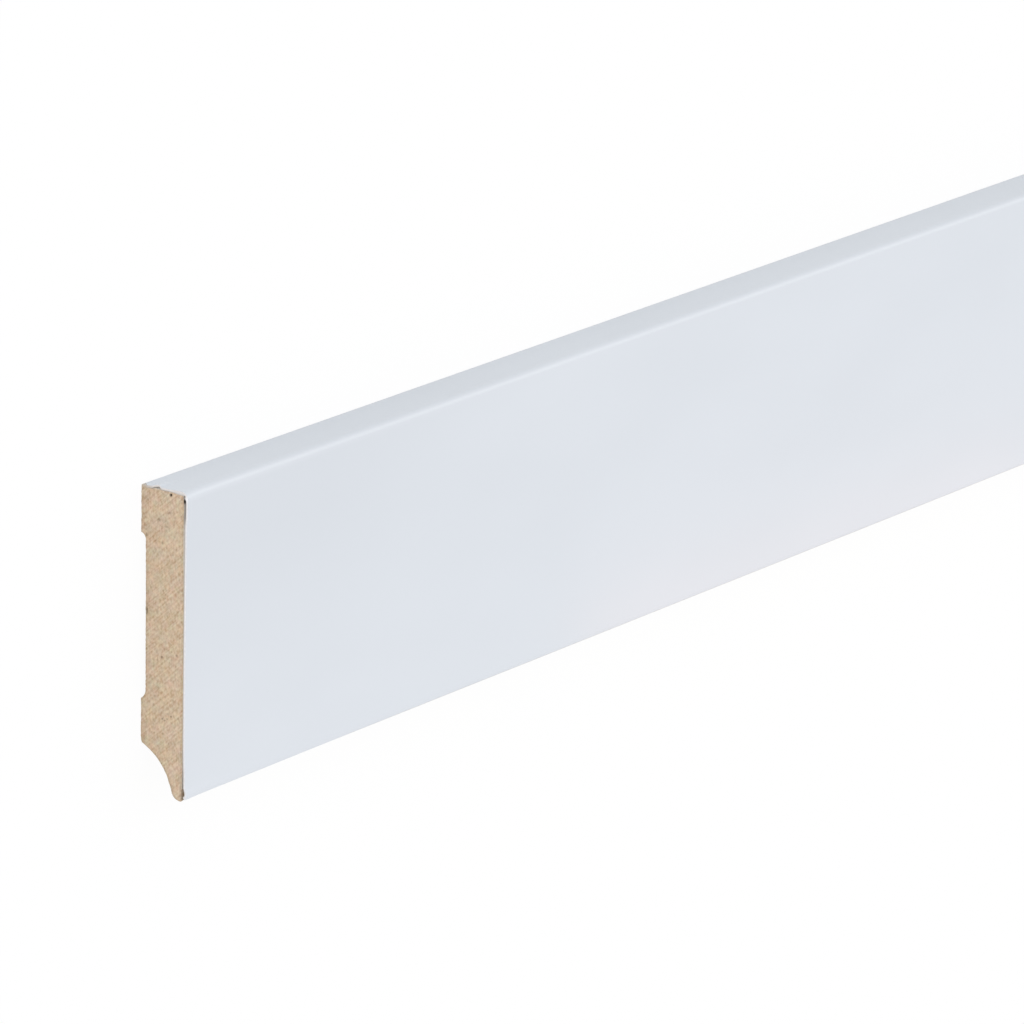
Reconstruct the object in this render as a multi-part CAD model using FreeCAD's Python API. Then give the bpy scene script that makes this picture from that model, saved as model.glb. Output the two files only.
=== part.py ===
import FreeCAD, Part
import math
import os

# One length of skirting board: a moulded MDF core with a white foil bonded over its top and face.
# It lies on its back. +X runs along the board, +Y points to the edge that is up on a wall,
# +Z points out of the room face. The origin is on the floor, under the middle of the board.

# Overall size, in millimetres. The room face leans back, so the toe is thinner than the top.
board_length = 2400.0
board_height = 80.0
board_thickness = 14.0
toe_thickness = 13.5

# Foil, with the two rounded arrises as they measure on its outside. It thins over the top arris,
# because the core is nearly sharp there.
foil_thickness = 0.6
foil_back_margin = 0.2
top_arris_radius = 1.8
toe_arris_radius = 1.7
core_arris_radius = 0.5

# Wall side: two pads that bear on the wall, with a shallow relief between them
upper_pad_height = 12.3
lower_pad_height = 11.5
relief_depth = 1.4
upper_flank_radius = 1.7
lower_flank_radius = 2.8

# Toe: the cove behind it leaves room for cables, and a rounded nose stands on the floor
toe_height = 13.3
cove_radius = 16.3
nose_radius = 2.7

# The foil is tucked under the toe, flush against a small step in the core
toe_step_angle = math.radians(30.0)
foil_end_gap = 0.3

# Places that follow from the sizes, in the section's own plane: y up the wall, z out of the face
top_y = board_height / 2
toe_y = -board_height / 2
core_top_y = top_y - foil_thickness
top_arris_centre = (top_y - top_arris_radius, board_thickness - top_arris_radius)
toe_arris_centre = (toe_y + toe_arris_radius, toe_thickness - toe_arris_radius)
nose_centre = (toe_y + nose_radius, toe_arris_centre[1])
upper_pad_edge = (top_y - upper_pad_height, 0.0)
lower_pad_toe = (toe_y + toe_height, 0.0)
lower_pad_edge = (lower_pad_toe[0] + lower_pad_height, 0.0)
foil_end_angle = toe_step_angle + foil_end_gap / toe_arris_radius

half_turn = math.pi


def on_circle(centre, radius, angle):
    """A point of the section, on a circle, at an angle from +Y towards +Z."""
    return (centre[0] + radius * math.cos(angle), centre[1] + radius * math.sin(angle))


def in_space(point):
    """A point of the section as it stands at the board's -X end."""
    return FreeCAD.Vector(-board_length / 2, point[0], point[1])


class Outline:
    """A closed section drawn edge by edge with straight lines and true arcs."""

    def __init__(self, start):
        self.start = start
        self.pen = start
        self.edges = []

    def line(self, end):
        if math.dist(self.pen, end) > 1e-6:
            self.edges.append(Part.LineSegment(in_space(self.pen), in_space(end)).toShape())
        self.pen = end

    def arc(self, centre, radius, first, last):
        """A line to the arc's first angle, if the pen isn't there, then the arc to its last."""
        self.line(on_circle(centre, radius, first))
        middle = on_circle(centre, radius, (first + last) / 2)
        end = on_circle(centre, radius, last)
        self.edges.append(Part.Arc(in_space(self.pen), in_space(middle), in_space(end)).toShape())
        self.pen = end

    def extruded(self):
        self.line(self.start)
        face = Part.Face(Part.Wire(self.edges))
        return face.extrude(FreeCAD.Vector(board_length, 0, 0))


def face_angle():
    """Which way the room face looks. It leans back a little, at a tangent to both arrises."""
    fall = top_arris_centre[0] - toe_arris_centre[0]
    back = toe_arris_centre[1] - top_arris_centre[1]
    lean = math.asin((top_arris_radius - toe_arris_radius) / math.hypot(fall, back))
    return math.atan2(fall, back) + lean


def core_arris_centre():
    """Where the core's own top arris is centred: one foil thickness in from the top and the face."""
    outwards = face_angle()
    y = core_top_y - core_arris_radius
    across = (top_arris_centre[0] - y) * math.cos(outwards)
    inset = top_arris_radius - foil_thickness - core_arris_radius
    return y, top_arris_centre[1] + (across + inset) / math.sin(outwards)


def flank(pad_edge, radius, towards_relief):
    """The cutter's rounded corner between a pad and the relief: its centre and its rise angle.

    It meets the relief's floor at a tangent, and the pad's plane at the rise angle."""
    rise = math.asin(max(radius - relief_depth, 0.0) / radius)
    run = radius * math.cos(rise)
    centre = (pad_edge[0] + towards_relief * run, relief_depth - radius)
    return centre, rise


def cove_centre():
    """Where the cove's circle is centred: through the lower pad's toe, tangent to the nose."""
    across = nose_centre[0] - lower_pad_toe[0]
    out = nose_centre[1] - lower_pad_toe[1]
    span = math.hypot(across, out)
    reach = cove_radius + nose_radius
    along = (cove_radius**2 - reach**2 + span**2) / (2 * span)
    aside = math.sqrt(cove_radius**2 - along**2)
    y = lower_pad_toe[0] + (along * across - aside * out) / span
    z = lower_pad_toe[1] + (along * out + aside * across) / span
    return y, z


def angle_to(start, end):
    """The angle of the way from one point to another, from nought to a full turn."""
    return math.atan2(end[1] - start[1], end[0] - start[0]) % (2 * math.pi)


def mdf_core():
    """The moulded core: top, room face, stepped toe, nose, cove, and the relieved wall side."""
    core = Outline((core_top_y, 0.0))
    outwards = face_angle()
    core.arc(core_arris_centre(), core_arris_radius, 0.0, outwards)
    step = half_turn - toe_step_angle
    core.arc(toe_arris_centre, toe_arris_radius - foil_thickness, outwards, step)
    core.arc(toe_arris_centre, toe_arris_radius, step, half_turn)
    centre = cove_centre()
    core.arc(nose_centre, nose_radius, half_turn, angle_to(nose_centre, centre))
    core.arc(centre, cove_radius, angle_to(centre, nose_centre), angle_to(centre, lower_pad_toe))
    core.line(lower_pad_edge)
    centre, rise = flank(lower_pad_edge, lower_flank_radius, 1)
    core.arc(centre, lower_flank_radius, half_turn - rise, half_turn / 2)
    centre, rise = flank(upper_pad_edge, upper_flank_radius, -1)
    core.arc(centre, upper_flank_radius, half_turn / 2, rise)
    core.line(upper_pad_edge)
    return core.extruded()


def foil_wrap():
    """The foil: one even skin from just short of the wall side, over the face, to under the toe."""
    foil = Outline((top_y, foil_back_margin))
    outwards = face_angle()
    foil_end = half_turn - foil_end_angle
    foil.arc(top_arris_centre, top_arris_radius, 0.0, outwards)
    foil.arc(toe_arris_centre, toe_arris_radius, outwards, foil_end)
    foil.arc(toe_arris_centre, toe_arris_radius - foil_thickness, foil_end, outwards)
    foil.arc(core_arris_centre(), core_arris_radius, outwards, 0.0)
    foil.line((core_top_y, foil_back_margin))
    return foil.extruded()


os.makedirs("parts", exist_ok=True)
mdf_core().exportStep("parts/mdf_core.step")
foil_wrap().exportStep("parts/foil_wrap.step")
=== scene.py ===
import math

import bpy
import numpy as np
from mathutils import Matrix, Vector


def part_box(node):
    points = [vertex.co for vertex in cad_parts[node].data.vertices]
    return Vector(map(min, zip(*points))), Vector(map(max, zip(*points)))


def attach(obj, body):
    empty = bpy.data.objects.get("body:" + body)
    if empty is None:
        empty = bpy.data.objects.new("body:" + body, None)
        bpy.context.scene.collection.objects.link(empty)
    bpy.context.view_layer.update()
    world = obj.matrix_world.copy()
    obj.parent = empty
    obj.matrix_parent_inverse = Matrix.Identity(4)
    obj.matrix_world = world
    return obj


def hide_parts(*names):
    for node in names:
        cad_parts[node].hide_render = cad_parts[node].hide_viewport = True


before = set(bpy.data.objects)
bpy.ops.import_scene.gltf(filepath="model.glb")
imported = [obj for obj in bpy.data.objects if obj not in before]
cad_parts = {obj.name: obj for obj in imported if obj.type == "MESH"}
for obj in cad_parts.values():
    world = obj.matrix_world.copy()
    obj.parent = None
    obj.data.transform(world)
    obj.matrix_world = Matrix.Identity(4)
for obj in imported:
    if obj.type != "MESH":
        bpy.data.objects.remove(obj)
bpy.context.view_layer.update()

# Core
# One stick of medium density fibreboard, wood fibre pressed with resin, that gives the board its
# shape. A moulder has run its pads, relief, cove and nose. A saw has cut both ends square, which
# leaves slanting blade marks, torn fibre and a few pits.

MM = 0.001

# Sizes are in millimetres. From the middle of the board, x runs along it and y up the wall; z is
# how far a point stands off the wall.
core_low, core_high = (np.array(corner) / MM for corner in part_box("mdf_core"))
foil_low, foil_high = (np.array(corner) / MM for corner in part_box("foil_wrap"))
half_length = core_high[0]
top_y = foil_high[1]
core_top_y = core_high[1]
toe_y = core_low[1]
face_z = foil_high[2]
foil_thickness = top_y - core_top_y

toe_thickness = 13.5
top_arris_radius = 1.8
toe_arris_radius = 1.7
core_arris_radius = 0.5
upper_pad_height = 12.3
lower_pad_height = 11.5
relief_depth = 1.4
upper_flank_radius = 1.7
lower_flank_radius = 2.8
toe_height = 13.3
cove_radius = 16.3
nose_radius = 2.7
toe_step_angle = math.radians(30.0)

top_arris_y = top_y - top_arris_radius
top_arris_z = face_z - top_arris_radius
toe_arris_y = toe_y + toe_arris_radius
toe_arris_z = toe_thickness - toe_arris_radius
nose_y = toe_y + nose_radius
upper_pad_edge = top_y - upper_pad_height
lower_pad_toe = toe_y + toe_height
lower_pad_edge = lower_pad_toe + lower_pad_height

# Which way the room face looks, from +Y towards +Z: it leans back, at a tangent to both arrises.
face_angle = math.atan2(top_arris_y - toe_arris_y, toe_arris_z - top_arris_z)
face_angle += math.asin((top_arris_radius - toe_arris_radius)
                        / math.hypot(top_arris_y - toe_arris_y, toe_arris_z - top_arris_z))
face_up, face_out = math.cos(face_angle), math.sin(face_angle)
glued_plane = top_arris_y * face_up + top_arris_z * face_out + top_arris_radius - foil_thickness
core_arris_y = core_top_y - core_arris_radius
core_arris_z = (glued_plane - core_arris_radius - core_arris_y * face_up) / face_out


def cove_centre():
    """The cove's circle runs through the lower pad's toe and is tangent to the nose."""
    across = nose_y - lower_pad_toe
    out = toe_arris_z
    span = math.hypot(across, out)
    along = (cove_radius**2 - (cove_radius + nose_radius) ** 2 + span**2) / (2 * span)
    aside = math.sqrt(cove_radius**2 - along**2)
    y = lower_pad_toe + (along * across - aside * out) / span
    return y, (along * out + aside * across) / span


def rise(across, radius):
    """How high a circle stands at a distance across from its centre."""
    return np.sqrt(np.maximum(radius**2 - across**2, 0.0))


def flank_run(radius):
    """How far up the board one rounded flank of the relief reaches."""
    return math.sqrt(radius**2 - (radius - relief_depth) ** 2)


cove_y, cove_z = cove_centre()
nose_meets_cove = nose_y + (cove_y - nose_y) * nose_radius / (cove_radius + nose_radius)
relief_low = lower_pad_edge + flank_run(lower_flank_radius)
relief_high = upper_pad_edge - flank_run(upper_flank_radius)


def wall_side(y):
    """The core's outline on the wall side: how far it stands off the wall at a height y."""
    nose = toe_arris_z - rise(y - nose_y, nose_radius)
    cove = cove_z + rise(y - cove_y, cove_radius)
    low_flank = relief_depth - lower_flank_radius + rise(y - relief_low, lower_flank_radius)
    high_flank = relief_depth - upper_flank_radius + rise(y - relief_high, upper_flank_radius)
    z = np.where(y < lower_pad_toe, cove, 0.0)
    z = np.where(y < nose_meets_cove, nose, z)
    z = np.where((y > lower_pad_edge) & (y < upper_pad_edge), relief_depth, z)
    z = np.where((y > lower_pad_edge) & (y < relief_low), low_flank, z)
    return np.where((y > relief_high) & (y < upper_pad_edge), high_flank, z)


def room_side(y):
    """The core's outline under the foil, with its two arrises and the small step at the toe."""
    arris = core_arris_z + rise(y - core_arris_y, core_arris_radius)
    face = (glued_plane - y * face_up) / face_out
    under_foil = toe_arris_z + rise(y - toe_arris_y, toe_arris_radius - foil_thickness)
    step = toe_arris_z + (toe_arris_y - y) * math.tan(toe_step_angle)
    bare = toe_arris_z + rise(y - toe_arris_y, toe_arris_radius)
    z = np.where(y < toe_arris_y, np.minimum(bare, np.maximum(under_foil, step)), face)
    return np.where(y > core_arris_y, arris, z)


def grain(y, z, cell_y, cell_z, seed):
    """Smooth noise from -1 to 1 over the sawn end, with cells of a given size in millimetres."""
    random = np.random.default_rng(seed)
    rows = int((top_y - toe_y) / cell_y) + 4
    columns = int(face_z / cell_z) + 4
    lattice = random.uniform(-1, 1, (rows, columns))
    row = (y - toe_y) / cell_y + 1
    column = z / cell_z + 1
    row_low, column_low = np.floor(row).astype(int), np.floor(column).astype(int)
    u, v = row - row_low, column - column_low
    u, v = u * u * (3 - 2 * u), v * v * (3 - 2 * v)
    low = lattice[row_low, column_low] * (1 - v) + lattice[row_low, column_low + 1] * v
    high = lattice[row_low + 1, column_low] * (1 - v) + lattice[row_low + 1, column_low + 1] * v
    return low * (1 - u) + high * u


def waver(y, cell, seed):
    """Smooth noise from -1 to 1 up the board, for an edge that doesn't run straight."""
    return grain(y, y * 0, cell, 4.0, seed)


def bell(distance, width):
    """From 1 at the middle it falls to 0 on both sides."""
    return np.exp(-((distance / width) ** 2))


def plateau(distance, width):
    """Like a bell, with a flat top and steeper sides."""
    return np.exp(-((distance / width) ** 4))


def above(value, middle, width):
    """A smooth step from 0 to 1."""
    return 1 / (1 + np.exp((middle - value) / width))


def below(value, middle, width):
    """A smooth step from 1 to 0."""
    return 1 / (1 + np.exp((value - middle) / width))


# The blade's marks climb across the end at about 40 degrees, seen from the near end. This is the
# direction across them, as y and z.
across_marks = (-0.762, 0.648)
mark_spacing, mark_length, mark_depth = 0.55, 9.0, 0.03
fibre_height, fibre_width, fibre_depth = 0.6, 0.45, 0.035

# Pits in the near end, as the photo shows them: their y and z, how high and how wide each one is,
# and its depth.
near_pits = [
    (38.53, 8.93, 0.36, 0.34, 0.55),
    (-3.64, 6.36, 0.32, 0.25, 0.30),
    (-2.58, 10.87, 0.32, 0.32, 0.19),
    (7.60, 1.75, 1.05, 0.26, 0.26),
    (27.30, 1.55, 0.45, 0.30, 0.16),
    (39.12, 7.35, 0.20, 0.45, 0.09),
    (39.50, 0.85, 0.60, 0.80, 0.08),
    (31.70, 5.40, 0.34, 0.40, 0.14),
    (33.90, 8.70, 0.28, 0.42, 0.12),
    (30.20, 7.60, 0.30, 0.60, 0.13),
    (31.10, 9.90, 0.50, 0.24, 0.12),
    (32.80, 10.40, 0.36, 0.22, 0.10),
    (28.00, 10.30, 0.38, 0.24, 0.11),
    (25.90, 6.45, 0.36, 0.32, 0.16),
    (-18.06, 8.22, 0.24, 0.30, 0.12),
    (-18.61, 9.19, 0.30, 0.30, 0.24),
    (-19.42, 8.07, 0.22, 0.34, 0.18),
    (-19.59, 6.55, 0.28, 0.30, 0.19),
    (-19.93, 7.27, 0.20, 0.36, 0.18),
]
far_pits = [
    (21.3, 9.7, 0.30, 0.26, 0.50),
    (3.1, 4.2, 0.26, 0.30, 0.30),
    (-11.6, 8.8, 0.30, 0.26, 0.25),
    (-24.5, 5.0, 0.24, 0.26, 0.30),
    (33.4, 3.6, 0.28, 0.24, 0.22),
]
deepest_pit = max(pit[-1] for pit in near_pits)


def pit_depth(y, z, pits):
    """How deep the pits are at a point of the sawn end."""
    depth = np.zeros_like(y)
    for pit_y, pit_z, height, width, deep in pits:
        depth = np.maximum(depth, deep * plateau(np.hypot((y - pit_y) / height, (z - pit_z) / width), 1))
    return depth


def sawn_depth(y, z, seed):
    """How far the sawn end lies behind the cut's plane, from blade marks and torn fibre."""
    across = y * across_marks[0] + z * across_marks[1]
    marks = 0.5 + 0.5 * grain(across, z, mark_spacing, mark_length, seed)
    fibre = 0.5 + 0.5 * grain(y, z, fibre_height, fibre_width, seed + 2)
    return mark_depth * marks + fibre_depth * fibre


# Heights at which a sawn end changes towards the toe: where the cove begins, and at the near end
# where the foil stands open, and where the corner behind it is broken off 12.45 mm off the wall.
cove_top_y = -27.5
open_toe_y = -33.0
broken_toe_y = -37.0
broken_toe_z = 12.45


def crumbled(y, seed):
    """How much of the sawn end's arris on the wall side has crumbled away."""
    ragged = 0.1 * np.clip(0.35 + 0.5 * waver(y, 0.5, seed) + 0.5 * waver(y, 3.0, seed + 1), 0.0, 1.0)
    in_cove = 0.1 * below(y, cove_top_y, 0.5) + 0.14 * plateau(y + 31.0, 3.2)
    on_nose = 0.15 * bell(y + 37.9, 1.3) + 0.05 * below(y, -39.1, 0.2)
    return ragged + in_cove + on_nose + 0.3 * bell(y - lower_pad_toe, 0.6)


# At the near end the saw has lifted the foil off the core: in a blister on the top, in a low bulge
# below the top arris, and at the toe, where the foil springs open. The first two die away within
# 5 mm of the cut, the last one within a hand's breadth. It has dragged the foil's edge inwards at
# the top arris, and torn off the foil's corner at the wall side, where a burr of fibre stands.
lift_reach = 4.5
toe_reach = 55.0
burr_width = 1.4
burr_reach = 1.4


def blister(z):
    """The foil's lift on the top: from 0.3 mm it rises away from the wall, up to a steep end."""
    return (0.3 + 0.16 * (z - 3.4)) * above(z, 3.6, 0.2) * below(z, 5.85, 0.1)


def bulge(y):
    """The foil's lift on the face: 0.3 mm below the top arris, and a faint swell further down."""
    return np.maximum(0.3 * plateau(y - 35.5, 4.5), 0.08 * bell(y - 29.5, 11.0))


def toe_spring(y):
    """How far the foil springs open at the toe, in three steps downwards."""
    return 0.07 * below(y, -27.0, 1.0) + 0.13 * below(y, -31.5, 0.6) + 0.42 * below(y, -37.25, 0.3)


def dragged_down(z):
    """How far the foil's inner edge is dragged down from the top, next to the arris."""
    return 0.48 * above(z, 10.6, 0.8)


def dragged_in(y):
    """How far it is dragged in from the face: a little all along, most at the arris and the toe."""
    return 0.09 * bell(y, 26.0) + 0.36 * plateau(y - 38.45, 0.5) + 0.25 * below(y, -38.6, 0.12)


# The core is torn back from the foil along the cut: a narrow line of glue and crushed fibre on the
# face, a slot below the top arris with a deep void in it, and a broken corner at the toe. Painted
# shade darkens the slot, the void and the broken corner.
void_y = 37.45
torn_reach = 0.45
far_torn_reach = 0.5


def void(y):
    return plateau(y - void_y, 0.6)


def slot(y):
    return plateau(y - 34.8, 3.2)


def lip(y):
    """Where the core's own arris is crushed, above the void."""
    return plateau(y - 38.6, 0.5)


def near_torn(y):
    """How far the core's edge at the cut is torn back from the foil."""
    torn = 0.19 + 0.05 * waver(y, 1.5, 51) + 0.27 * above(y, 20.0, 4.0)
    torn += 0.1 * lip(y) - 0.13 * slot(y) + 0.07 * below(y, open_toe_y, 0.5)
    at_toe = below(y, broken_toe_y, 0.25)
    broken = room_side(y) - broken_toe_z + 0.05 * waver(y, 0.6, 52)
    return torn * (1 - at_toe) + np.maximum(broken, 0.02) * at_toe


def near_mended(y):
    """How deep behind the cut the core meets the foil again."""
    at_toe = 0.25 * below(y, open_toe_y, 0.5) + 0.9 * below(y, broken_toe_y, 0.25)
    return 0.35 + 0.5 * slot(y) + 2.5 * void(y) + 0.5 * lip(y) + at_toe


def torn_line_shade(y):
    """How dark the torn line is painted, from 0 to 1: painted shade in its slot, void and broken toe."""
    at_toe = 0.12 * below(y, open_toe_y, 0.5) + 0.13 * below(y, broken_toe_y, 0.25)
    return np.maximum(void(y), 0.33 * slot(y) + 0.35 * lip(y)) + at_toe


def near_top(z, depth):
    """How far the core's top is shifted at a depth behind the near end.

    It half fills the blister, is chipped below its steep end and torn down where the foil is
    dragged down, and stands in the burr."""
    lift = blister(z) * bell(depth, lift_reach)
    chipped = plateau(z - 5.25, 0.55)
    torn = 0.02 + 0.23 * chipped + dragged_down(z)
    burr = (0.55 + 0.17 * above(z, 0.8, 0.1)) * below(z, burr_width, 0.1)
    burr *= min(max(0.0, (burr_reach - depth) / 0.25), 1.0)
    filled = min(depth / torn_reach, 1.0)
    fill = 0.56 + 0.36 * np.minimum(depth / (0.12 + 0.3 * chipped), 1.0)
    return lift * fill - torn * (1 - filled) + burr


def near_toe(z, depth):
    """How far a burr of fibre hangs below the toe, most at its broken corner."""
    return (0.05 + 0.25 * above(z, 12.1, 0.2)) * bell(depth, 0.9)


def far_torn(y):
    """How far the core's edge at the far cut is torn back: by a hair, and not under the toe."""
    return (0.08 + 0.04 * waver(y, 1.5, 61)) * above(y, toe_arris_y - 0.9, 0.1)


def far_top(z, depth):
    """How far the core's top is shifted at a depth behind the far end: torn down by a hair."""
    return z * 0 - 0.1 * max(0.0, 1 - depth / torn_reach)


def core_heights():
    """Heights at which the section is drawn: even, and closer together round its small arcs."""
    turn = np.linspace(0, math.pi / 2, 14)
    nose = nose_y - nose_radius * np.cos(np.linspace(0.06, math.pi / 2, 20))
    top = core_arris_y + core_arris_radius * np.sin(turn)
    low_flank = relief_low - flank_run(lower_flank_radius) * np.sin(turn)
    high_flank = relief_high + flank_run(upper_flank_radius) * np.sin(turn)
    even = np.arange(nose_y, core_arris_y, 0.2)
    edges = [toe_y, lower_pad_toe, lower_pad_edge, upper_pad_edge]
    heights = np.sort(np.concatenate([nose, top, low_flank, high_flank, even, edges]))
    return heights[np.concatenate([[True], np.diff(heights) > 0.02])]


sawn_face, moulded_face, glued_face = 0, 1, 2
core_columns = 61
# Depths behind each cut at which the core's section is drawn, closest together where it is torn.
core_stations = [0.12, 0.3, 0.55, 0.85, 1.15, 1.4, 2.0, 3.0, 4.5, 7.0, 12.0, 30.0, 80.0, 240.0, 650.0]
bulge_filled = 0.92
thinnest_nose = 0.3
crumbled_reach = 1.0
top_reach = 1.3
toe_burr_reach = 1.0
bare_top_margin = 0.25
bare_toe_stations = 5
torn_line_shade_reach = 3.0
skin_width = 0.6


def moulded_core():
    """The core as one closed mesh: a fine grid on each sawn end, and long faces between them."""
    y = core_heights()
    rows = len(y)
    across = np.linspace(0, 1, core_columns)
    last = core_columns - 1
    ring = [(row, last) for row in range(rows)]
    ring += [(rows - 1, column) for column in range(last - 1, -1, -1)]
    ring += [(row, 0) for row in range(rows - 2, -1, -1)]
    ring += [(0, column) for column in range(1, last)]
    ring_rows = np.array([row for row, _ in ring])
    ring_columns = np.array([column for _, column in ring])

    def section(end, depth):
        """The section at a depth behind one sawn end; end is -1 for the near one, 1 for the far."""
        near = end < 0
        torn = near_torn(y) if near else far_torn(y)
        mended = np.clip(depth / (near_mended(y) if near else far_torn_reach), 0.0, 1.0)
        follow = bulge_filled * bulge(y) * bell(depth, lift_reach) if near else 0.0
        front = room_side(y) - torn * (1 - mended) + follow * mended
        back = wall_side(y) + crumbled(y, 71 if near else 81) * max(0.0, 1 - depth / crumbled_reach)
        back[0] = min(back[0], front[0] - thinnest_nose)
        z = back[:, None] + (front - back)[:, None] * across[None, :]
        shift = near_top(z, depth) if near else far_top(z, depth)
        high = np.clip(1 - (core_top_y - y) / top_reach, 0.0, 1.0)[:, None]
        low = np.clip(1 - (y - toe_y) / toe_burr_reach, 0.0, 1.0)[:, None]
        hang = near_toe(z, depth) if near else 0.0
        return y[:, None] + shift * high - hang * low, z

    points, faces, finish, painted_shades, skin_shades = [], [], [], [], []

    def end_grid(end, pits, seed):
        """A sawn end; its shades say where painted shade darkens its pits and torn line, and where the
        dense skin is.
        """
        start = len(points)
        grid_y, grid_z = section(end, 0.0)
        pit = pit_depth(grid_y, grid_z, pits)
        x = end * (half_length - sawn_depth(grid_y, grid_z, seed) - pit)
        points.extend(np.stack([x, grid_y, grid_z], axis=-1).reshape(-1, 3).tolist())
        # Painted shade darkens the pits by their depth, and the torn line along the last column.
        shade = pit / deepest_pit
        if end < 0:
            shade[:, last] = np.maximum(shade[:, last], 0.6 * torn_line_shade(y))
        painted_shades.extend(shade.ravel().tolist())
        to_side = np.minimum(grid_z - grid_z[:, :1], grid_z[:, last:] - grid_z)
        skin = plateau(to_side, skin_width) * (1 + 0.7 * below(y, cove_top_y, 0.5))[:, None]
        skin_shades.extend(skin.ravel().tolist())
        for row in range(rows - 1):
            for column in range(last):
                corner = start + row * core_columns + column
                face = [corner, corner + 1, corner + core_columns + 1, corner + core_columns]
                faces.append(face if end < 0 else face[::-1])
                finish.append(sawn_face)
        return [start + row * core_columns + column for row, column in ring]

    def ring_at(end, depth):
        """The section's outline at a depth behind one sawn end."""
        start = len(points)
        grid_y, grid_z = section(end, depth)
        x = np.full(len(ring), end * (half_length - depth))
        ring_y, ring_z = grid_y[ring_rows, ring_columns], grid_z[ring_rows, ring_columns]
        points.extend(np.stack([x, ring_y, ring_z], axis=-1).tolist())
        # Painted shade along the torn line behind the near end's cut.
        shade = torn_line_shade(ring_y) * (ring_columns == last) * (end < 0) * (depth < torn_line_shade_reach)
        painted_shades.extend(shade.tolist())
        skin_shades.extend([1.0] * len(ring))
        return list(range(start, start + len(ring)))

    loops = [end_grid(-1, near_pits, 11)]
    loops += [ring_at(-1, depth) for depth in core_stations]
    loops += [ring_at(1, depth) for depth in core_stations[::-1]]
    loops.append(end_grid(1, far_pits, 31))
    _, whole_z = section(1, half_length)
    on_top = (ring_rows == rows - 1) & (whole_z[ring_rows, ring_columns] > bare_top_margin)
    on_face = (ring_columns == last) & (y[ring_rows] > toe_y + 0.05)
    at_broken_toe = y[ring_rows] < broken_toe_y
    for number, (left, right) in enumerate(zip(loops, loops[1:])):
        for step in range(len(ring)):
            after = (step + 1) % len(ring)
            faces.append([left[step], right[step], right[after], left[after]])
            if on_face[step] and at_broken_toe[step] and number < bare_toe_stations:
                finish.append(sawn_face)
            else:
                finish.append(glued_face if on_top[step] or on_face[step] else moulded_face)
    mesh = bpy.data.meshes.new("mdf_core_stick")
    mesh.from_pydata((np.array(points) * MM).tolist(), [], faces)
    mesh.attributes.new("painted_shade", "FLOAT", "POINT").data.foreach_set("value", painted_shades)
    mesh.attributes.new("skin_shade", "FLOAT", "POINT").data.foreach_set("value", skin_shades)
    mesh.polygons.foreach_set("material_index", finish)
    mesh.polygons.foreach_set("use_smooth", [True] * len(faces))
    mesh.set_sharp_from_angle(angle=math.radians(35))
    mesh.validate()
    return mesh


def linear(colour):
    """An sRGB colour such as #C8B296, as the linear values that shaders take."""
    values = [int(colour[i : i + 2], 16) / 255 for i in (1, 3, 5)]
    return [v / 12.92 if v <= 0.04045 else ((v + 0.055) / 1.055) ** 2.4 for v in values] + [1.0]


def add(material, kind, inputs=None, stops=None, **settings):
    """Adds a node; each input takes a plain value, or the socket that feeds it.

    A colour ramp's stops are given as positions and colours. A Mix node of colours mixes its
    inputs 6 and 7 into its output 2."""
    tree = material.node_tree
    node = tree.nodes.new(kind)
    for name, value in settings.items():
        setattr(node, name, value)
    for name, value in (inputs or {}).items():
        if isinstance(value, bpy.types.NodeSocket):
            tree.links.new(value, node.inputs[name])
        else:
            node.inputs[name].default_value = value
    if stops:
        elements = node.color_ramp.elements
        elements.remove(elements[1])
        elements[0].position, elements[0].color = stops[0][0], linear(stops[0][1])
        for position, colour in stops[1:]:
            elements.new(position).color = linear(colour)
    return node


def new_material(name):
    material = bpy.data.materials.new(name)
    material.use_nodes = True
    material.node_tree.nodes.clear()
    return material


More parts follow.
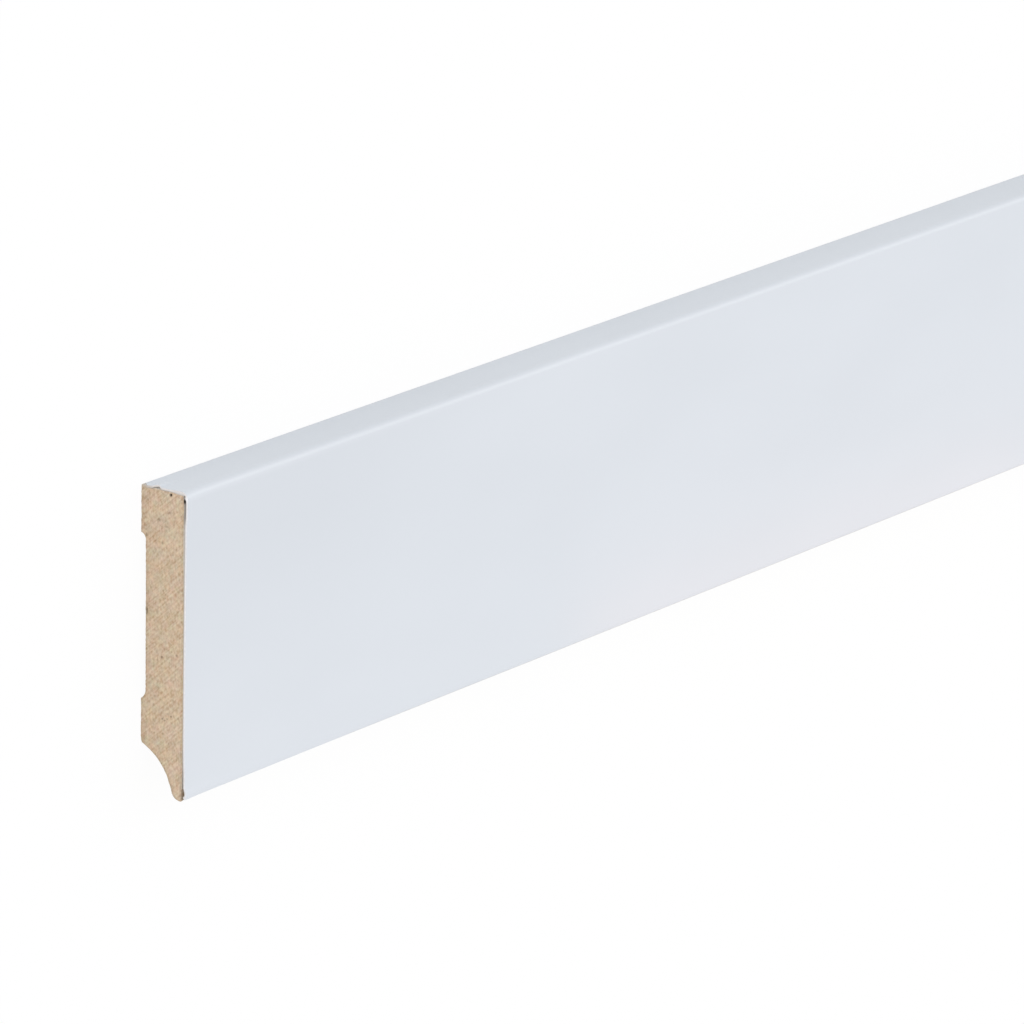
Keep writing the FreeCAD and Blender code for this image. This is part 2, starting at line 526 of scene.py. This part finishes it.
def sawn_mdf():
    """Raw MDF as a saw leaves it: matt tan, mottled by its fibre bundles, with blade marks.

    The mottling breaks up what would be a flat tan, and the slanting streaks tell of the saw."""
    material = new_material("mdf_sawn_end")
    place = add(material, "ShaderNodeTexCoord").outputs["Object"]
    along = add(material, "ShaderNodeVectorMath",
                {0: place, 1: (0.0, across_marks[1] / MM, -across_marks[0] / MM)},
                operation="DOT_PRODUCT")
    across = add(material, "ShaderNodeVectorMath",
                 {0: place, 1: (0.0, across_marks[0] / MM, across_marks[1] / MM)},
                 operation="DOT_PRODUCT")
    slanted = add(material, "ShaderNodeCombineXYZ",
                  {0: along.outputs["Value"], 1: across.outputs["Value"]})
    # Layers of mottling: where each is read, its cells to the metre (for the slanted one, to the
    # millimetre along and across the blade marks) and its share of the tone. Fibre bundles are
    # under 1 mm, the blade marks 14 mm long and 0.5 mm apart, clumps 1.6 mm and chips 4 mm.
    layers = [
        (place, (1 / 0.0006, 1 / 0.00095, 1 / 0.0006), 0.55),
        (slanted.outputs[0], (1 / 14, 1 / 0.5, 1.0), 0.40),
        (place, (1 / 0.0016, 1 / 0.0017, 1 / 0.0015), 0.22),
        (place, (1 / 0.004, 1 / 0.006, 1 / 0.0035), 0.20),
    ]
    tone = 0.5 - 0.5 * sum(share for _, _, share in layers)
    for source, scale, share in layers:
        cells = add(material, "ShaderNodeVectorMath", {0: source, 1: scale}, operation="MULTIPLY")
        noise = add(material, "ShaderNodeTexNoise",
                    {"Vector": cells.outputs[0], "Scale": 1.0, "Detail": 1.0, "Roughness": 0.5})
        mixed = add(material, "ShaderNodeMath", {0: noise.outputs["Fac"], 1: share, 2: tone},
                    operation="MULTIPLY_ADD")
        tone = mixed.outputs[0]
    tan = add(material, "ShaderNodeValToRGB", {0: tone},
              stops=[(0.30, "#BC9F83"), (0.5, "#D2BBA1"), (0.66, "#DFCCB1")])
    # Patches 3 mm wide lean to red or to blue, as the mixed chips of the board do.
    patch = add(material, "ShaderNodeVectorMath", {0: place, 1: (330, 330, 420)}, operation="MULTIPLY")
    hue = add(material, "ShaderNodeTexNoise",
              {"Vector": patch.outputs[0], "Scale": 1.0, "Detail": 3.0, "Roughness": 0.7})
    leaning = add(material, "ShaderNodeVectorMath",
                  {0: hue.outputs["Color"], 1: (0.4, 0.0, 0.36), 2: (0.8, 1.0, 0.82)},
                  operation="MULTIPLY_ADD")
    tinted = add(material, "ShaderNodeVectorMath",
                 {0: tan.outputs["Color"], 1: leaning.outputs[0]}, operation="MULTIPLY")
    # The pressed board is denser, and darker, in a skin 0.6 mm thick on either side.
    skin = add(material, "ShaderNodeAttribute", attribute_name="skin_shade")
    dense = add(material, "ShaderNodeMapRange",
                {"Value": skin.outputs["Fac"], "To Min": 0.99, "To Max": 0.88}, clamp=False)
    shaded = add(material, "ShaderNodeVectorMath",
                 {"Scale": dense.outputs[0], 0: tinted.outputs[0]}, operation="SCALE")
    # Pale dust and shreds of the foil hang in the burr at the wall side of the top.
    spread = add(material, "ShaderNodeSeparateXYZ", {0: place})
    in_burr = add(material, "ShaderNodeMapRange",
                  {"Value": spread.outputs["Y"], "From Min": 0.0391, "From Max": 0.0400,
                   "To Min": 0.0, "To Max": 0.75})
    dusted = add(material, "ShaderNodeMix",
                 {"Factor": in_burr.outputs[0], 6: shaded.outputs[0], 7: linear("#E2DBD0")},
                 data_type="RGBA")
    # Specks of bark and dark resin, 0.4 mm across, about one in every 10 square millimetres.
    speck_place = add(material, "ShaderNodeVectorMath", {0: place, 1: (900, 900, 1100)},
                      operation="MULTIPLY")
    cells = add(material, "ShaderNodeTexVoronoi", {"Vector": speck_place.outputs[0], "Scale": 1.0})
    chosen = add(material, "ShaderNodeSeparateColor", {0: cells.outputs["Color"]})
    rare = add(material, "ShaderNodeMath", {0: chosen.outputs[0], 1: 0.9}, operation="GREATER_THAN")
    near_centre = add(material, "ShaderNodeMapRange",
                      {"Value": cells.outputs["Distance"], "From Min": 0.16, "From Max": 0.4,
                       "To Min": 0.3, "To Max": 0.0})
    speck = add(material, "ShaderNodeMath", {0: rare.outputs[0], 1: near_centre.outputs[0]},
                operation="MULTIPLY")
    specked = add(material, "ShaderNodeMix",
                  {"Factor": speck.outputs[0], 6: dusted.outputs[2], 7: linear("#8A6E54")},
                  data_type="RGBA")
    # Painted shade darkens the pits by their depth, and the torn line at the near end, towards #3A3128.
    pit = add(material, "ShaderNodeAttribute", attribute_name="painted_shade")
    shade_strength = add(material, "ShaderNodeMath", {0: pit.outputs["Fac"], 1: 1.15},
                       operation="MULTIPLY", use_clamp=True)
    pit_shaded = add(material, "ShaderNodeMix",
                 {"Factor": shade_strength.outputs[0], 6: specked.outputs[2], 7: linear("#3A3128")},
                 data_type="RGBA")
    bump = add(material, "ShaderNodeBump", {"Strength": 0.5, "Distance": 0.00006, "Height": tone})
    shader = add(material, "ShaderNodeBsdfPrincipled",
                 {"Base Color": pit_shaded.outputs[2], "Roughness": 0.9, "IOR": 1.45,
                  "Specular IOR Level": 0.25, "Normal": bump.outputs[0]})
    add(material, "ShaderNodeOutputMaterial", {"Surface": shader.outputs[0]})
    return material


def moulded_mdf():
    """MDF cut by a moulder: closer and browner than a sawn end, with a ripple of cutter marks."""
    material = new_material("mdf_moulded")
    place = add(material, "ShaderNodeTexCoord").outputs["Object"]
    # Fibres lie along the board: 3 mm long and 0.4 mm across.
    along = add(material, "ShaderNodeVectorMath", {0: place, 1: (330, 2600, 2600)}, operation="MULTIPLY")
    fibre = add(material, "ShaderNodeTexNoise",
                {"Vector": along.outputs[0], "Scale": 1.0, "Detail": 3.0, "Roughness": 0.65})
    tan = add(material, "ShaderNodeValToRGB", {0: fibre.outputs["Fac"]},
              stops=[(0.3, "#C0A68A"), (0.7, "#DAC4A9")])
    # One cutter mark every 1.6 mm of feed.
    feed = add(material, "ShaderNodeVectorMath", {0: place, 1: (2 * math.pi / 0.0016, 0.0, 0.0)},
               operation="DOT_PRODUCT")
    ripple = add(material, "ShaderNodeMath", {0: feed.outputs["Value"]}, operation="SINE")
    shade = add(material, "ShaderNodeMapRange",
                {"Value": ripple.outputs[0], "From Min": -1.0, "From Max": 1.0,
                 "To Min": 0.975, "To Max": 1.01})
    marked = add(material, "ShaderNodeVectorMath",
                 {"Scale": shade.outputs[0], 0: tan.outputs["Color"]}, operation="SCALE")
    relief = add(material, "ShaderNodeMath", {0: ripple.outputs[0], 1: 0.15, 2: fibre.outputs["Fac"]},
                 operation="MULTIPLY_ADD")
    bump = add(material, "ShaderNodeBump",
               {"Strength": 0.4, "Distance": 0.00005, "Height": relief.outputs[0]})
    shader = add(material, "ShaderNodeBsdfPrincipled",
                 {"Base Color": marked.outputs[0], "Roughness": 0.72, "IOR": 1.45,
                  "Specular IOR Level": 0.35, "Normal": bump.outputs[0]})
    add(material, "ShaderNodeOutputMaterial", {"Surface": shader.outputs[0]})
    return material


def hot_melt_glue():
    """Hot-melt glue with fibre torn into it: a milky beige between the core and its foil.

    It shows as a soft line round the sawn end; painted shade darkens it in the slot and the void
    below the arris and at the broken toe."""
    material = new_material("hot_melt_glue")
    place = add(material, "ShaderNodeTexCoord").outputs["Object"]
    # Rolled on in streaks 1 mm wide.
    streak_place = add(material, "ShaderNodeVectorMath", {0: place, 1: (200, 1000, 1000)},
                       operation="MULTIPLY")
    streaks = add(material, "ShaderNodeTexNoise",
                  {"Vector": streak_place.outputs[0], "Scale": 1.0, "Detail": 2.0})
    milky = add(material, "ShaderNodeValToRGB", {0: streaks.outputs["Fac"]},
                stops=[(0.3, "#BDB4AA"), (0.7, "#D1C9C0")])
    # Painted shade: the torn line's slot, void and broken toe are darkened towards #2A211A.
    painted_shade_node = add(material, "ShaderNodeAttribute", attribute_name="painted_shade")
    shaded_glue = add(material, "ShaderNodeMix",
                   {"Factor": painted_shade_node.outputs["Fac"], 6: milky.outputs["Color"], 7: linear("#2A211A")},
                   data_type="RGBA")
    shader = add(material, "ShaderNodeBsdfPrincipled",
                 {"Base Color": shaded_glue.outputs[2], "Roughness": 0.6, "IOR": 1.5})
    add(material, "ShaderNodeOutputMaterial", {"Surface": shader.outputs[0]})
    return material


core = bpy.data.objects.new("mdf_core_stick", moulded_core())
bpy.context.scene.collection.objects.link(core)
for finish in (sawn_mdf(), moulded_mdf(), hot_melt_glue()):
    core.data.materials.append(finish)
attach(core, "root")
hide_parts("mdf_core")

# Foil
# A white decor foil, bonded round the top, the room face and the front of the toe by a wrapping
# line's rollers. It is a smooth plastic film with a silk-matt surface, stretched thin over the
# core's sharp top arris. At the near end the saw has lifted it off the core a little.

foil_back_z = foil_low[2]
foil_end_gap = 0.3
foil_end_angle = toe_step_angle + foil_end_gap / toe_arris_radius
# Depths behind each cut at which the foil's section is drawn.
foil_stations = [0.0, 0.07, 0.2, 0.4, 0.7, 1.1, 1.6, 2.2, 3.0, 4.0, 5.2, 6.8, 9.0, 14.0, 22.0, 32.0,
                 44.0, 58.0, 75.0, 100.0, 240.0, 650.0]
cut_edge_ease = 0.05
drag_reach = 0.35
deepest_drag = 0.44
torn_corner = 1.2
torn_corner_reach = 3.0


def foil_path():
    """The foil's section, from the wall side of the top to under the toe.

    Each row has a point of its outside, the point of its inside behind it, and outwards."""
    top = [(top_y, z, core_top_y, z, 1.0, 0.0) for z in np.linspace(foil_back_z, top_arris_z, 46)[:-1]]

    def round_arris(outside, inside, angles):
        """Two arcs side by side, each given by its centre and radius."""
        for angle in angles:
            up, out = math.cos(angle), math.sin(angle)
            yield (outside[0] + outside[2] * up, outside[1] + outside[2] * out,
                   inside[0] + inside[2] * up, inside[1] + inside[2] * out, up, out)

    top_arris = list(round_arris((top_arris_y, top_arris_z, top_arris_radius),
                                 (core_arris_y, core_arris_z, core_arris_radius),
                                 np.linspace(0, face_angle, 19)))
    toe_arris = list(round_arris((toe_arris_y, toe_arris_z, toe_arris_radius),
                                 (toe_arris_y, toe_arris_z, toe_arris_radius - foil_thickness),
                                 np.linspace(face_angle, math.pi - foil_end_angle, 15)))
    face = np.linspace(top_arris[-1], toe_arris[0], 130)[1:-1].tolist()
    return np.array(top + top_arris + face + toe_arris)


def near_lift(path, depth):
    """How far the foil stands off the core at a depth behind the near end, up and outwards."""
    y, z, up, out = path[:, 0], path[:, 1], path[:, 4], path[:, 5]
    flat_top = up > 0.99
    wavy = 0.03 * (1 + grain(y, z, 2.5, 1.5, 91)) * flat_top
    lifted_up = blister(z) * flat_top * bell(depth, lift_reach) + wavy * bell(depth, 1.2)
    sprung = toe_spring(y) * (0.4 * bell(depth, lift_reach) + 0.6 * bell(depth, toe_reach))
    lifted_out = bulge(y) * np.clip(out, 0.0, 1.0) * bell(depth, lift_reach) + sprung
    return np.column_stack([lifted_up, lifted_out])


def foil_sheet():
    """The foil as one closed mesh: outside, inside, two sawn ends and two long edges."""
    path = foil_path()
    count = len(path)
    z, up, out = path[:, 1], np.maximum(path[:, 4], 0.0), path[:, 5]
    drag = np.minimum(dragged_down(z) * up + dragged_in(path[:, 2]) * out, deepest_drag)
    torn_off = torn_corner * below(z, burr_width - 0.12, 0.1) * (up > 0.99)
    stations = [(-1, depth) for depth in foil_stations] + [(1, depth) for depth in foil_stations[::-1]]
    points, faces, finish = [], [], []
    for end, depth in stations:
        near = 1.0 if end < 0 else 0.0
        lift = near * near_lift(path, depth)
        eased = cut_edge_ease if depth == 0.0 else 0.0
        swollen = near * drag * max(0.0, 1 - depth / drag_reach)
        outside = path[:, 0:2] + lift - eased * path[:, 4:6]
        inside = path[:, 2:4] + lift - swollen[:, None] * path[:, 4:6]
        x = end * (half_length - depth - near * torn_off * max(0.0, 1 - depth / torn_corner_reach))
        for side in (outside, inside):
            points.extend(np.column_stack([x, side]).tolist())
    white, cut_edge, glued = 0, 1, 2
    for station in range(len(stations) - 1):
        near, far = station * 2 * count, (station + 1) * 2 * count
        for step in range(count - 1):
            a, b = near + step, far + step
            faces.append([a, a + 1, b + 1, b])
            faces.append([a + count, b + count, b + count + 1, a + count + 1])
            finish += [white, glued]
        faces.append([near, far, far + count, near + count])
        faces.append([near + count - 1, near + 2 * count - 1, far + 2 * count - 1, far + count - 1])
        finish += [white, white]
    last = (len(stations) - 1) * 2 * count
    for step in range(count - 1):
        faces.append([step, step + count, step + count + 1, step + 1])
        faces.append([last + step, last + step + 1, last + count + step + 1, last + count + step])
        finish += [cut_edge, cut_edge]
    mesh = bpy.data.meshes.new("white_foil_sheet")
    mesh.from_pydata((np.array(points) * MM).tolist(), [], faces)
    # How far across the cut edge a point lies: glue smear and painted shade grow towards the inside.
    smear_and_shade = ([0.0] * count + [1.0] * count) * len(stations)
    mesh.attributes.new("glue_smear_and_shade", "FLOAT", "POINT").data.foreach_set("value", smear_and_shade)
    mesh.polygons.foreach_set("material_index", finish)
    mesh.polygons.foreach_set("use_smooth", [True] * len(faces))
    mesh.set_sharp_from_angle(angle=math.radians(40))
    mesh.validate()
    return mesh


def foil_surface():
    """Calendered plastic film, silk-matt white: a soft broad sheen over the faint grain below."""
    material = new_material("decor_foil_white")
    place = add(material, "ShaderNodeTexCoord").outputs["Object"]
    # The core's fibre shows through as an orange peel with a grain of about 0.9 mm.
    peel_place = add(material, "ShaderNodeVectorMath", {0: place, 1: (700, 1100, 1100)},
                     operation="MULTIPLY")
    peel = add(material, "ShaderNodeTexNoise",
               {"Vector": peel_place.outputs[0], "Scale": 1.0, "Detail": 2.0, "Roughness": 0.5})
    # The white varies by a hair over a hand's breadth.
    broad_place = add(material, "ShaderNodeVectorMath", {0: place, 1: (12, 30, 30)}, operation="MULTIPLY")
    broad = add(material, "ShaderNodeTexNoise",
                {"Vector": broad_place.outputs[0], "Scale": 1.0, "Detail": 2.0})
    tone = add(material, "ShaderNodeValToRGB", {0: broad.outputs["Fac"]},
               stops=[(0.35, "#DBE0E7"), (0.65, "#DDE2E9")])
    # Painted shade greys it by a hair for 14 cm next to the near end, on the upper half of the
    # face and not over the top arris.
    spread = add(material, "ShaderNodeSeparateXYZ", {0: place})
    to_end = add(material, "ShaderNodeMapRange",
                 {"Value": spread.outputs["X"], "From Min": -1.14, "From Max": -1.06,
                  "To Min": 1.0, "To Max": 0.0})
    upwards = add(material, "ShaderNodeMapRange",
                  {"Value": spread.outputs["Y"], "From Min": -0.012, "From Max": 0.024,
                   "To Min": 0.0, "To Max": 1.0})
    on_face = add(material, "ShaderNodeMapRange",
                  {"Value": spread.outputs["Y"], "From Min": 0.0372, "From Max": 0.0386,
                   "To Min": 1.0, "To Max": 0.0})
    dusty_and_shaded = add(material, "ShaderNodeMath", {0: to_end.outputs[0], 1: upwards.outputs[0]},
                operation="MULTIPLY")
    dust_and_shade = add(material, "ShaderNodeMath", {0: dusty_and_shaded.outputs[0], 1: on_face.outputs[0]},
               operation="MULTIPLY")
    painted_shade_near_end = add(material, "ShaderNodeMix",
                 {"Factor": dust_and_shade.outputs[0], 6: tone.outputs["Color"], 7: linear("#D8DDE4")},
                 data_type="RGBA")
    rough = add(material, "ShaderNodeMapRange",
                {"Value": peel.outputs["Fac"], "From Min": 0.3, "From Max": 0.7,
                 "To Min": 0.36, "To Max": 0.44})
    bump = add(material, "ShaderNodeBump",
               {"Strength": 0.25, "Distance": 0.00001, "Height": peel.outputs["Fac"]})
    shader = add(material, "ShaderNodeBsdfPrincipled",
                 {"Base Color": painted_shade_near_end.outputs[2], "Roughness": rough.outputs[0], "IOR": 1.5,
                  "Normal": bump.outputs[0]})
    add(material, "ShaderNodeOutputMaterial", {"Surface": shader.outputs[0]})
    return material


def foil_cut_edge():
    """The film's own sawn edge: matt, white where it is bent, and dusty at the wall side."""
    material = new_material("decor_foil_cut_edge")
    place = add(material, "ShaderNodeTexCoord").outputs["Object"]
    spread = add(material, "ShaderNodeSeparateXYZ", {0: place})
    # Saw teeth leave marks 0.7 mm apart.
    teeth_place = add(material, "ShaderNodeVectorMath", {0: place, 1: (1500, 1500, 1500)},
                      operation="MULTIPLY")
    teeth = add(material, "ShaderNodeTexNoise",
                {"Vector": teeth_place.outputs[0], "Scale": 1.0, "Detail": 2.0})
    white = add(material, "ShaderNodeValToRGB", {0: teeth.outputs["Fac"]},
                stops=[(0.3, "#E6E5E8"), (0.7, "#F6F5F7")])
    # The bend at the top arris has stretched the film whiter, from 37.5 to 39 mm up.
    bend = add(material, "ShaderNodeMapRange",
               {"Value": spread.outputs["Z"], "From Min": 0.0131, "From Max": 0.0137,
                "To Min": 0.0, "To Max": 1.0})
    high = add(material, "ShaderNodeMapRange",
               {"Value": spread.outputs["Y"], "From Min": 0.0368, "From Max": 0.038,
                "To Min": 0.0, "To Max": 1.0})
    bent = add(material, "ShaderNodeMath", {0: bend.outputs[0], 1: high.outputs[0]}, operation="MULTIPLY")
    stretched = add(material, "ShaderNodeMix",
                    {"Factor": bent.outputs[0], 6: white.outputs["Color"], 7: linear("#FCFBFE")},
                    data_type="RGBA")
    # Wood dust lies on the top's cut edge, thickest at the wall side.
    dusty_and_shaded = add(material, "ShaderNodeMapRange",
                {"Value": spread.outputs["Z"], "From Min": 0.0022, "From Max": 0.0042,
                 "To Min": 0.9, "To Max": 0.38})
    on_top = add(material, "ShaderNodeMapRange",
                 {"Value": spread.outputs["Y"], "From Min": 0.0386, "From Max": 0.0392,
                  "To Min": 0.0, "To Max": 1.0})
    dust_and_shade = add(material, "ShaderNodeMath", {0: dusty_and_shaded.outputs[0], 1: on_top.outputs[0]},
               operation="MULTIPLY")
    dusted = add(material, "ShaderNodeMix",
                 {"Factor": dust_and_shade.outputs[0], 6: stretched.outputs[2], 7: linear("#CFC2B6")},
                 data_type="RGBA")
    # Glue smear and painted shade darken the inner half of the edge, most at its inside.
    smear_and_shade = add(material, "ShaderNodeAttribute", attribute_name="glue_smear_and_shade")
    smear_and_shade_share = add(material, "ShaderNodeMapRange",
                  {"Value": smear_and_shade.outputs["Fac"], "From Min": 0.4, "From Max": 1.0,
                   "To Min": 0.0, "To Max": 0.8})
    glued = add(material, "ShaderNodeMix",
                {"Factor": smear_and_shade_share.outputs[0], 6: dusted.outputs[2], 7: linear("#C4BBB2")},
                data_type="RGBA")
    shader = add(material, "ShaderNodeBsdfPrincipled",
                 {"Base Color": glued.outputs[2], "Roughness": 0.6, "IOR": 1.5})
    add(material, "ShaderNodeOutputMaterial", {"Surface": shader.outputs[0]})
    return material


foil = bpy.data.objects.new("white_foil_sheet", foil_sheet())
bpy.context.scene.collection.objects.link(foil)
for finish in (foil_surface(), foil_cut_edge(), hot_melt_glue()):
    foil.data.materials.append(finish)
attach(foil, "root")
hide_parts("foil_wrap")

# Floor
# A plain pale floor that the board lies on. The camera sees it white, with the board's soft
# shadow left in it, while the board itself is lit by an ordinary pale floor.

floor_reach = 60.0
floor_glow = 0.95


def pale_floor():
    """Painted boards: a plain light grey for the light that falls back on the object."""
    material = new_material("pale_floor")
    path = add(material, "ShaderNodeLightPath")
    plain = add(material, "ShaderNodeBsdfDiffuse", {"Color": linear("#DDE0E2")})
    glow = add(material, "ShaderNodeEmission", {"Color": (1, 1, 1, 1), "Strength": 1.0})
    bright = add(material, "ShaderNodeBsdfDiffuse", {"Color": (1, 1, 1, 1)})
    white = add(material, "ShaderNodeMixShader",
                {0: floor_glow, 1: bright.outputs[0], 2: glow.outputs[0]})
    seen = path.outputs["Is Camera Ray"]
    for ray in ("Is Glossy Ray", "Is Transmission Ray"):
        either = add(material, "ShaderNodeMath", {0: seen, 1: path.outputs[ray]}, operation="MAXIMUM")
        seen = either.outputs[0]
    shader = add(material, "ShaderNodeMixShader", {0: seen, 1: plain.outputs[0], 2: white.outputs[0]})
    add(material, "ShaderNodeOutputMaterial", {"Surface": shader.outputs[0]})
    return material


floor_mesh = bpy.data.meshes.new("studio_floor")
corners = [(-floor_reach, -floor_reach, 0), (floor_reach, -floor_reach, 0),
           (floor_reach, floor_reach, 0), (-floor_reach, floor_reach, 0)]
floor_mesh.from_pydata(corners, [], [(0, 1, 2, 3)])
floor = bpy.data.objects.new("studio_floor", floor_mesh)
bpy.context.scene.collection.objects.link(floor)
floor_mesh.materials.append(pale_floor())

# Light
# An even white room, as in a light tent. A broad lamp beyond the far end draws the bright line
# along the foil's top arris, and a softer one behind the camera lights the sawn end. A low warm
# strip lights the foot of the board, as a wooden bench in front of it would.

# The room is white where it is seen or mirrored, and lights the board a little less.
room_light, room_white = 0.9, 1.0

world = bpy.data.worlds.new("light_tent")
world.use_nodes = True
bpy.context.scene.world = world
world.node_tree.nodes.clear()
sky_path = add(world, "ShaderNodeLightPath")
sky_seen = add(world, "ShaderNodeMath",
               {0: sky_path.outputs["Is Camera Ray"], 1: sky_path.outputs["Is Glossy Ray"]},
               operation="MAXIMUM")
sky_level = add(world, "ShaderNodeMapRange",
                {"Value": sky_seen.outputs[0], "To Min": room_light, "To Max": room_white})
sky = add(world, "ShaderNodeBackground", {"Color": (1, 1, 1, 1), "Strength": sky_level.outputs[0]})
add(world, "ShaderNodeOutputWorld", {"Surface": sky.outputs[0]})


def hang(lamp, towards, place=(0, 0, 0)):
    """Puts a lamp in the scene, given which way it lies from what it lights."""
    holder = bpy.data.objects.new(lamp.name, lamp)
    bpy.context.scene.collection.objects.link(holder)
    holder.location = place
    holder.rotation_euler = Vector(towards).to_track_quat("Z", "Y").to_euler()
    return holder


broad_lamp = bpy.data.lights.new("broad_lamp", "SUN")
broad_lamp.energy = 0.4
broad_lamp.angle = math.radians(30)
hang(broad_lamp, towards=(0.784, 0.289, 0.55))

end_lamp = bpy.data.lights.new("end_lamp", "SUN")
end_lamp.energy = 0.5
end_lamp.angle = math.radians(35)
hang(end_lamp, towards=(-0.96, -0.14, 0.22)).visible_glossy = False

# The strip hangs 2 mm beyond the toe and 18 mm off the face, with its middle 0.3 m from the near
# end. Only its light shows.
bench_glow = bpy.data.lights.new("bench_glow", "AREA")
bench_glow.shape = "RECTANGLE"
bench_glow.size = 0.24
bench_glow.size_y = 0.008
bench_glow.energy = 0.0022
bench_glow.color = (1.0, 0.48, 0.3)
strip = hang(bench_glow, towards=(0, -0.3, 0.95), place=(-0.9, -0.042, 0.032))
strip.visible_camera = False
strip.visible_glossy = False

# Camera
# A long lens that looks down along the board from beyond its near end. It is turned so that the
# board's top edge is at the top of the picture, as it is on a wall.

camera_place = Vector((-3.0492, 0.6424, 1.3337))
looks_along = Vector((0.80579, -0.25802, -0.53304)).normalized()
picture_right = Vector((0.55439, 0.01223, 0.83217)).normalized()
picture_up = picture_right.cross(looks_along).normalized()
picture_right = looks_along.cross(picture_up)

camera = bpy.data.cameras.new("long_lens")
camera.sensor_width = 36.0
camera.lens = 333.8
camera.clip_end = 200.0
camera_object = bpy.data.objects.new("long_lens", camera)
bpy.context.scene.collection.objects.link(camera_object)
axes = Matrix((picture_right, picture_up, -looks_along)).transposed()
camera_object.matrix_world = Matrix.Translation(camera_place) @ axes.to_4x4()
bpy.context.scene.camera = camera_object
bpy.context.scene.view_settings.view_transform = "Standard"
